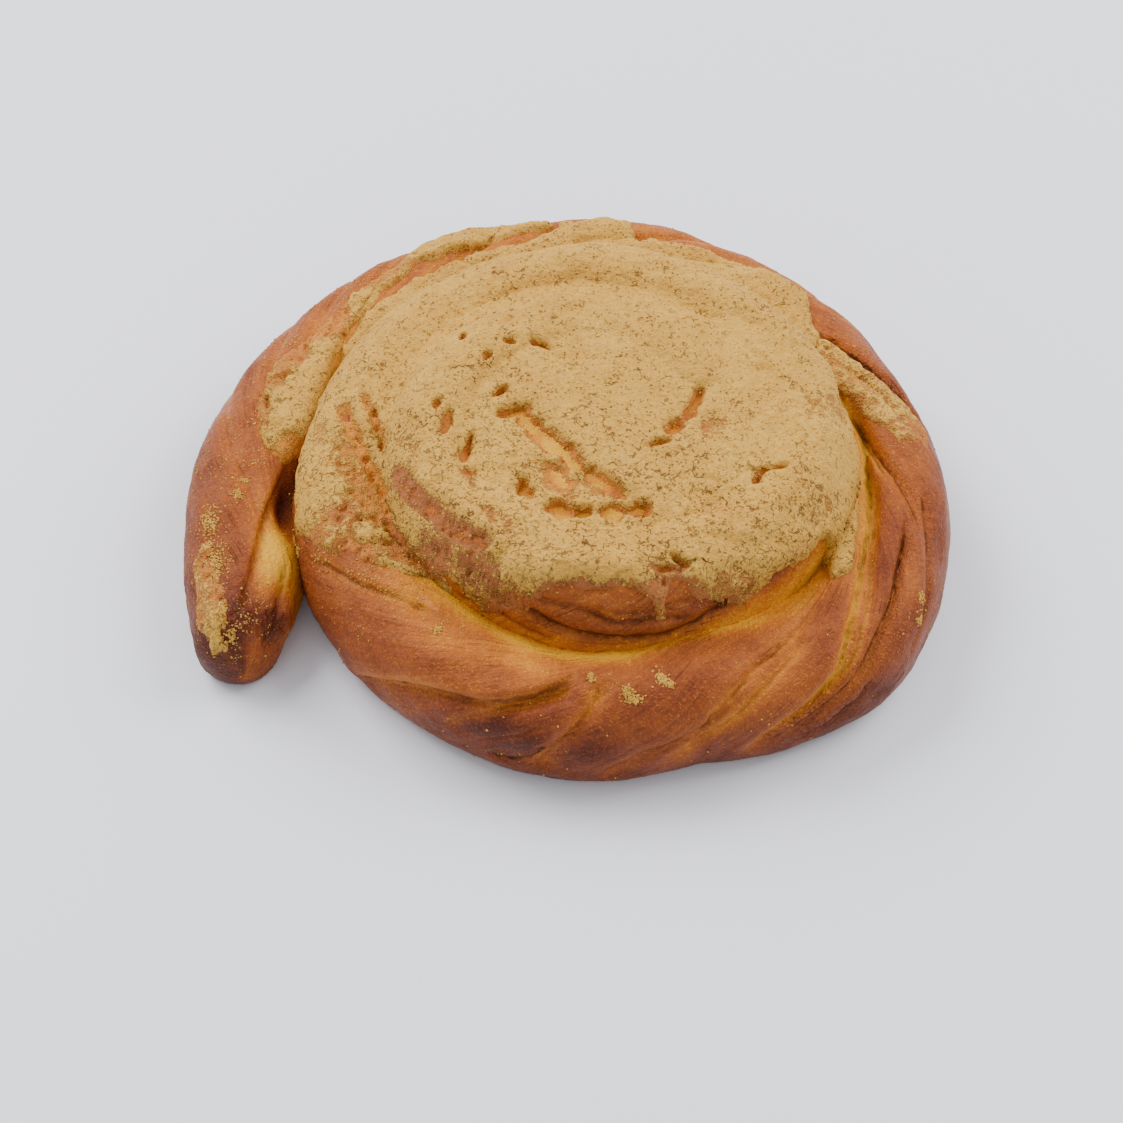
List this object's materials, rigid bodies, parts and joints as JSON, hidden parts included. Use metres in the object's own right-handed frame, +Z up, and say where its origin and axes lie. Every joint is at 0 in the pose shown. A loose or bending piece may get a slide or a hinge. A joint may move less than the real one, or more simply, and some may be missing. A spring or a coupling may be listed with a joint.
{
  "type": "tahini pastry",
  "caption": "Coiled snail of twisted sweet dough with one free end, its raised middle spread with a baked crumbly tahini paste.",
  "frame": {"origin": "on the surface the pastry rests on, under the middle of its bounding box", "axes": "+Z up, +X to the right of someone who has the free end of the rope at the front left, +Y away from them"},
  "size_m": [0.1714, 0.1462, 0.0437],
  "materials": {
    "crust": "golden brown baked dough, browner on its crowns and yellow in its folds, with a soft sheen",
    "tahini": "dry beige baked paste of tahini and sugar, matt, pitted and crumbly"
  },
  "bodies": {
    "root": {"dough_coil": "crust", "tahini_cap": "tahini", "tahini_left": "tahini", "tahini_right": "tahini", "tahini_tail": "tahini"}
  },
  "joints": []
}
